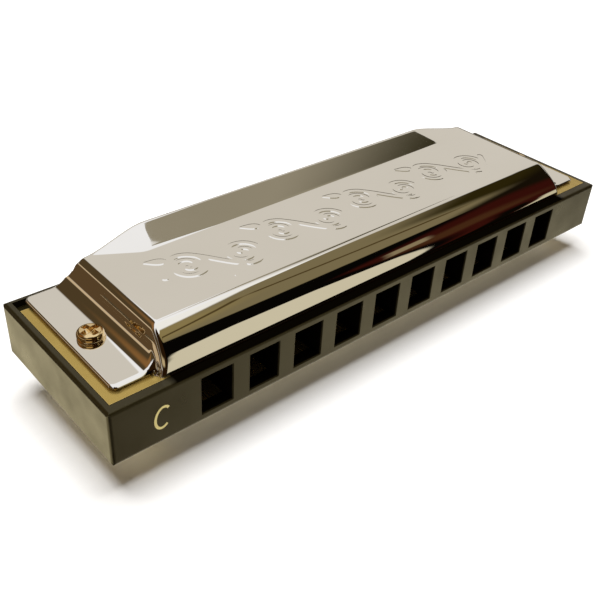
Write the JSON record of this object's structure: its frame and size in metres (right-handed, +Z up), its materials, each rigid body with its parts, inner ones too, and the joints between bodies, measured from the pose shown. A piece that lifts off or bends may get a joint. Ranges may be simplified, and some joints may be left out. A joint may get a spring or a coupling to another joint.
{
  "type": "harmonica",
  "caption": "Diatonic harmonica: a dark plastic comb with square mouth holes, brass reed plates let into it with free reeds, and two polished sheet covers screwed on at their end tabs.",
  "frame": {"origin": "middle of the footprint, level with the lowest edge of the lower cover", "axes": "+X along the row of mouth holes from hole 1 to hole 10, mouth face towards -Y, +Z up out of the upper cover"},
  "size_m": [0.097, 0.027, 0.0204],
  "materials": {
    "comb_plastic": "dark olive-brown moulded plastic, semi-gloss",
    "chrome_cover": "polished plate over pressed sheet",
    "plate_brass": "rolled and lightly brushed",
    "reed_brass": "rolled strip, filed at the tip",
    "plate_screw_steel": "nickel-plated small screws",
    "cover_screw_metal": "plated steel with a warm tone"
  },
  "bodies": {
    "harmonica_body": {"comb": "comb_plastic", "upper_cover": "chrome_cover", "lower_cover": "chrome_cover", "blow_reed_plate": "plate_brass", "draw_reed_plate": "plate_brass", "blow_reed_pads": "reed_brass", "draw_reed_pads": "reed_brass", "blow_reed_rivets": "reed_brass", "draw_reed_rivets": "reed_brass", "blow_plate_screws": "plate_screw_steel", "draw_plate_screws": "plate_screw_steel", "cover_screws": "cover_screw_metal", "cover_nuts": "cover_screw_metal"},
    "blow_tongue_1": {"blow_reed_1": "reed_brass"},
    "blow_tongue_2": {"blow_reed_2": "reed_brass"},
    "blow_tongue_3": {"blow_reed_3": "reed_brass"},
    "blow_tongue_4": {"blow_reed_4": "reed_brass"},
    "blow_tongue_5": {"blow_reed_5": "reed_brass"},
    "blow_tongue_6": {"blow_reed_6": "reed_brass"},
    "blow_tongue_7": {"blow_reed_7": "reed_brass"},
    "blow_tongue_8": {"blow_reed_8": "reed_brass"},
    "blow_tongue_9": {"blow_reed_9": "reed_brass"},
    "blow_tongue_10": {"blow_reed_10": "reed_brass"},
    "draw_tongue_1": {"draw_reed_1": "reed_brass"},
    "draw_tongue_2": {"draw_reed_2": "reed_brass"},
    "draw_tongue_3": {"draw_reed_3": "reed_brass"},
    "draw_tongue_4": {"draw_reed_4": "reed_brass"},
    "draw_tongue_5": {"draw_reed_5": "reed_brass"},
    "draw_tongue_6": {"draw_reed_6": "reed_brass"},
    "draw_tongue_7": {"draw_reed_7": "reed_brass"},
    "draw_tongue_8": {"draw_reed_8": "reed_brass"},
    "draw_tongue_9": {"draw_reed_9": "reed_brass"},
    "draw_tongue_10": {"draw_reed_10": "reed_brass"}
  },
  "joints": [
    {"name": "blow_reed_1_flex", "type": "hinge", "parent": "harmonica_body", "child": "blow_tongue_1", "pos_m": [-0.03335, -0.0063, 0.01323], "axis": [1, 0, 0], "range_deg": [-5, 5], "stiffness_Nm_per_rad": 0.0127},
    {"name": "blow_reed_2_flex", "type": "hinge", "parent": "harmonica_body", "child": "blow_tongue_2", "pos_m": [-0.02585, -0.0063, 0.01323], "axis": [1, 0, 0], "range_deg": [-5, 5], "stiffness_Nm_per_rad": 0.0132},
    {"name": "blow_reed_3_flex", "type": "hinge", "parent": "harmonica_body", "child": "blow_tongue_3", "pos_m": [-0.01835, -0.0063, 0.01323], "axis": [1, 0, 0], "range_deg": [-5, 5], "stiffness_Nm_per_rad": 0.0138},
    {"name": "blow_reed_4_flex", "type": "hinge", "parent": "harmonica_body", "child": "blow_tongue_4", "pos_m": [-0.01085, -0.0063, 0.01323], "axis": [1, 0, 0], "range_deg": [-5, 5], "stiffness_Nm_per_rad": 0.0144},
    {"name": "blow_reed_5_flex", "type": "hinge", "parent": "harmonica_body", "child": "blow_tongue_5", "pos_m": [-0.00335, -0.0063, 0.01323], "axis": [1, 0, 0], "range_deg": [-5, 5], "stiffness_Nm_per_rad": 0.015},
    {"name": "blow_reed_6_flex", "type": "hinge", "parent": "harmonica_body", "child": "blow_tongue_6", "pos_m": [0.00415, -0.0063, 0.01323], "axis": [1, 0, 0], "range_deg": [-5, 5], "stiffness_Nm_per_rad": 0.0157},
    {"name": "blow_reed_7_flex", "type": "hinge", "parent": "harmonica_body", "child": "blow_tongue_7", "pos_m": [0.01165, -0.0063, 0.01323], "axis": [1, 0, 0], "range_deg": [-5, 5], "stiffness_Nm_per_rad": 0.0165},
    {"name": "blow_reed_8_flex", "type": "hinge", "parent": "harmonica_body", "child": "blow_tongue_8", "pos_m": [0.01915, -0.0063, 0.01323], "axis": [1, 0, 0], "range_deg": [-5, 5], "stiffness_Nm_per_rad": 0.0174},
    {"name": "blow_reed_9_flex", "type": "hinge", "parent": "harmonica_body", "child": "blow_tongue_9", "pos_m": [0.02665, -0.0063, 0.01323], "axis": [1, 0, 0], "range_deg": [-5, 5], "stiffness_Nm_per_rad": 0.0183},
    {"name": "blow_reed_10_flex", "type": "hinge", "parent": "harmonica_body", "child": "blow_tongue_10", "pos_m": [0.03415, -0.0063, 0.01323], "axis": [1, 0, 0], "range_deg": [-5, 5], "stiffness_Nm_per_rad": 0.0194},
    {"name": "draw_reed_1_flex", "type": "hinge", "parent": "harmonica_body", "child": "draw_tongue_1", "pos_m": [-0.03335, -0.0063, 0.00602], "axis": [1, 0, 0], "range_deg": [-5, 5], "stiffness_Nm_per_rad": 0.0131},
    {"name": "draw_reed_2_flex", "type": "hinge", "parent": "harmonica_body", "child": "draw_tongue_2", "pos_m": [-0.02585, -0.0063, 0.00602], "axis": [1, 0, 0], "range_deg": [-5, 5], "stiffness_Nm_per_rad": 0.0136},
    {"name": "draw_reed_3_flex", "type": "hinge", "parent": "harmonica_body", "child": "draw_tongue_3", "pos_m": [-0.01835, -0.0063, 0.00602], "axis": [1, 0, 0], "range_deg": [-5, 5], "stiffness_Nm_per_rad": 0.0142},
    {"name": "draw_reed_4_flex", "type": "hinge", "parent": "harmonica_body", "child": "draw_tongue_4", "pos_m": [-0.01085, -0.0063, 0.00602], "axis": [1, 0, 0], "range_deg": [-5, 5], "stiffness_Nm_per_rad": 0.0148},
    {"name": "draw_reed_5_flex", "type": "hinge", "parent": "harmonica_body", "child": "draw_tongue_5", "pos_m": [-0.00335, -0.0063, 0.00602], "axis": [1, 0, 0], "range_deg": [-5, 5], "stiffness_Nm_per_rad": 0.0155},
    {"name": "draw_reed_6_flex", "type": "hinge", "parent": "harmonica_body", "child": "draw_tongue_6", "pos_m": [0.00415, -0.0063, 0.00602], "axis": [1, 0, 0], "range_deg": [-5, 5], "stiffness_Nm_per_rad": 0.0162},
    {"name": "draw_reed_7_flex", "type": "hinge", "parent": "harmonica_body", "child": "draw_tongue_7", "pos_m": [0.01165, -0.0063, 0.00602], "axis": [1, 0, 0], "range_deg": [-5, 5], "stiffness_Nm_per_rad": 0.0171},
    {"name": "draw_reed_8_flex", "type": "hinge", "parent": "harmonica_body", "child": "draw_tongue_8", "pos_m": [0.01915, -0.0063, 0.00602], "axis": [1, 0, 0], "range_deg": [-5, 5], "stiffness_Nm_per_rad": 0.018},
    {"name": "draw_reed_9_flex", "type": "hinge", "parent": "harmonica_body", "child": "draw_tongue_9", "pos_m": [0.02665, -0.0063, 0.00602], "axis": [1, 0, 0], "range_deg": [-5, 5], "stiffness_Nm_per_rad": 0.019},
    {"name": "draw_reed_10_flex", "type": "hinge", "parent": "harmonica_body", "child": "draw_tongue_10", "pos_m": [0.03415, -0.0063, 0.00602], "axis": [1, 0, 0], "range_deg": [-5, 5], "stiffness_Nm_per_rad": 0.0202}
  ]
}
